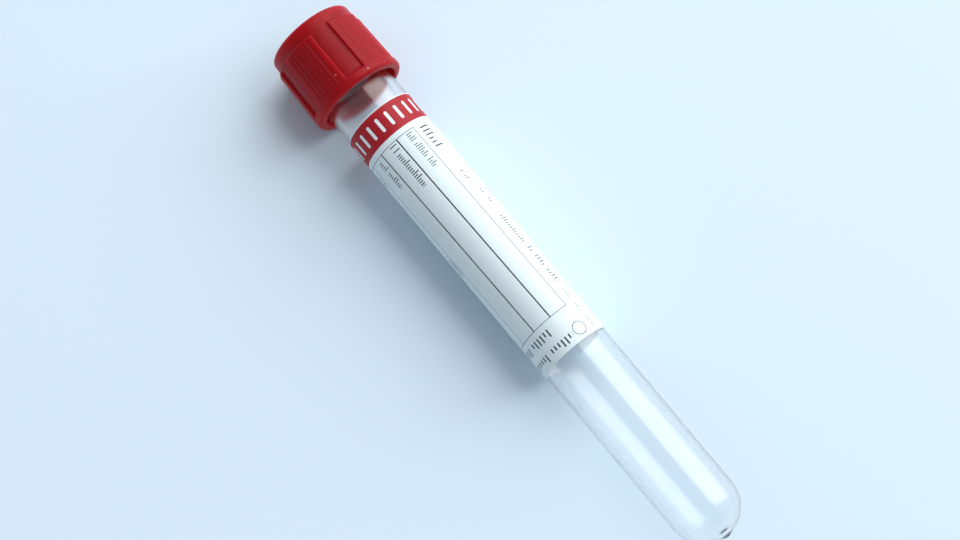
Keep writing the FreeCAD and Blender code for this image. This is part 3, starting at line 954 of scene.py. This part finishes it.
class MakeRing(bpy.types.Operator):
    """Make the black retaining ring round the needle port"""

    bl_idname = "blood_tube.make_ring"
    bl_label = "Retaining ring"

    def execute(self, context):
        settings = context.scene.blood_tube
        ring, places = settings.ring, Places(settings)
        low, top = places.flange_top, places.ring_top
        rim = places.chamber - ring.clearance
        port = places.port
        outline = Turning()
        outline.start(port, low)
        outline.line(rim, low)
        outline.line(rim, top)
        outline.line(port + ring.lead_in, top)
        outline.line(port, top - ring.lead_in)
        outline.close()
        outline.full_turn(ROUND_STEPS)
        finish = moulded("black_plastic", ring.plastic, ring)
        matrix = places.matrix(places.seat)
        node, slot = "retaining_ring", "black_plastic"
        outline.place("black_ring", matrix, [finish], "closure", node, slot)
        return {"FINISHED"}


class MakeStage(bpy.types.Operator):
    """Make the pale floor, the soft light and the camera"""

    bl_idname = "blood_tube.make_stage"
    bl_label = "Stage"

    def execute(self, context):
        stage = context.scene.blood_tube.stage
        middle = (CAD_BOX[0] + CAD_BOX[1]) / 2
        self.lay_floor(context, stage)
        self.light(context, stage, middle)
        self.light_room(context, stage)
        aim = middle + Vector((stage.aim_ahead, stage.aim_aside, 0))
        back = self.direction(stage.azimuth, stage.elevation)
        camera = bpy.data.cameras.new("camera")
        camera.lens, camera.sensor_width = stage.focal_length, SENSOR_WIDTH
        viewer = bpy.data.objects.new("camera", camera)
        viewer.location = aim + back * stage.distance
        viewer.rotation_euler = (-back).to_track_quat("-Z", "Y").to_euler()
        context.scene.collection.objects.link(viewer)
        context.scene.camera = viewer
        context.scene.view_settings.view_transform = "Standard"
        return {"FINISHED"}

    def direction(self, azimuth, elevation):
        """From the tube towards a place seen at an azimuth and an elevation."""
        level = math.cos(elevation)
        return Vector(
            (math.sin(azimuth) * level, -math.cos(azimuth) * level, math.sin(elevation))
        )

    def lay_floor(self, context, stage):
        """Lay the pale floor under the tube."""
        sheet = bmesh.new()
        bmesh.ops.create_grid(sheet, x_segments=1, y_segments=1, size=stage.floor_size / 2)
        data = bpy.data.meshes.new("floor")
        sheet.to_mesh(data)
        sheet.free()
        finish = Finish("floor")
        shade = finish.clouded(stage.floor, finish.noise(scale=3.0), 0.985, 1.0)
        values = {
            "Base Color": shade,
            "Roughness": stage.floor_roughness,
            "Specular IOR Level": stage.floor_sheen,
        }
        body = finish.node("ShaderNodeBsdfPrincipled", {}, values)
        data.materials.append(finish.surface(body))
        floor = bpy.data.objects.new("floor", data)
        context.scene.collection.objects.link(floor)

    def light(self, context, stage, middle):
        """Hang the large soft light, like a window at one side."""
        lamp = bpy.data.lights.new("window", "AREA")
        lamp.shape = "RECTANGLE"
        lamp.size, lamp.size_y = stage.window_width, stage.window_height
        lamp.energy = stage.window_power
        window = bpy.data.objects.new("window", lamp)
        towards = self.direction(stage.window_azimuth, stage.window_elevation)
        window.location = middle + towards * stage.window_distance
        window.rotation_euler = towards.to_track_quat("Z", "Y").to_euler()
        context.scene.collection.objects.link(window)

    def light_room(self, context, stage):
        """Light the tube from all round. What the camera and shiny surfaces show is a pale backdrop
        under a darker ceiling, and what is seen through the clear plastic is all backdrop."""
        world = bpy.data.worlds.new("room")
        world.use_nodes = True
        room = Finish(world)
        camera, shine, through = (room.node("ShaderNodeLightPath", output=n) for n in (0, 3, 6))
        direction = room.node("ShaderNodeTexCoord")
        upwards = room.node("ShaderNodeSeparateXYZ", {}, {0: direction}, 2)
        rise = room.node(
            "ShaderNodeMapRange",
            {"interpolation_type": "SMOOTHSTEP"},
            {0: upwards, 1: 0.0, 2: math.sin(stage.backdrop_top), 3: 0.0, 4: 1.0},
        )
        view = room.mixed(rise * (1 - through), stage.backdrop, stage.ceiling)
        shade = room.mixed(camera | shine | through, stage.room, view)
        sky = room.node("ShaderNodeBackground", {}, {"Color": shade, "Strength": 1.0})
        room.node("ShaderNodeOutputWorld", {}, {"Surface": sky})
        context.scene.world = world


class BloodTubePanel(bpy.types.Panel):
    """The pieces of the tube and its stage"""

    bl_idname = "VIEW3D_PT_blood_tube"
    bl_label = "Blood tube"
    bl_space_type = "VIEW_3D"
    bl_region_type = "UI"
    bl_category = "Blood tube"

    def draw(self, context):
        """A button for each piece, and its settings."""
        settings = context.scene.blood_tube
        for operator, group in zip(OPERATORS, GROUPS):
            box = self.layout.box()
            box.operator(operator.bl_idname)
            item = getattr(settings, group)
            for name in item.bl_rna.properties.keys():
                if name not in ("rna_type", "name"):
                    box.prop(item, name)


OPERATORS = (MakeTube, MakeLabel, MakeCap, MakeStopper, MakeRing, MakeStage)
GROUPS = ("tube", "label", "cap", "stopper", "ring", "stage")
CLASSES = (
    TubeSettings,
    LabelSettings,
    CapSettings,
    StopperSettings,
    RingSettings,
    StageSettings,
    BloodTubeSettings,
    *OPERATORS,
    BloodTubePanel,
)


def register():
    """Add the settings, the operators and the panel."""
    for item in CLASSES:
        bpy.utils.register_class(item)
    bpy.types.Scene.blood_tube = PointerProperty(type=BloodTubeSettings)


def unregister():
    """Take them away again."""
    del bpy.types.Scene.blood_tube
    for item in reversed(CLASSES):
        bpy.utils.unregister_class(item)


def main():
    """Make every piece and the stage."""
    register()
    bpy.ops.blood_tube.make_tube()
    bpy.ops.blood_tube.make_label()
    bpy.ops.blood_tube.make_cap()
    bpy.ops.blood_tube.make_stopper()
    bpy.ops.blood_tube.make_ring()
    bpy.ops.blood_tube.make_stage()


if __name__ == "__main__":
    main()
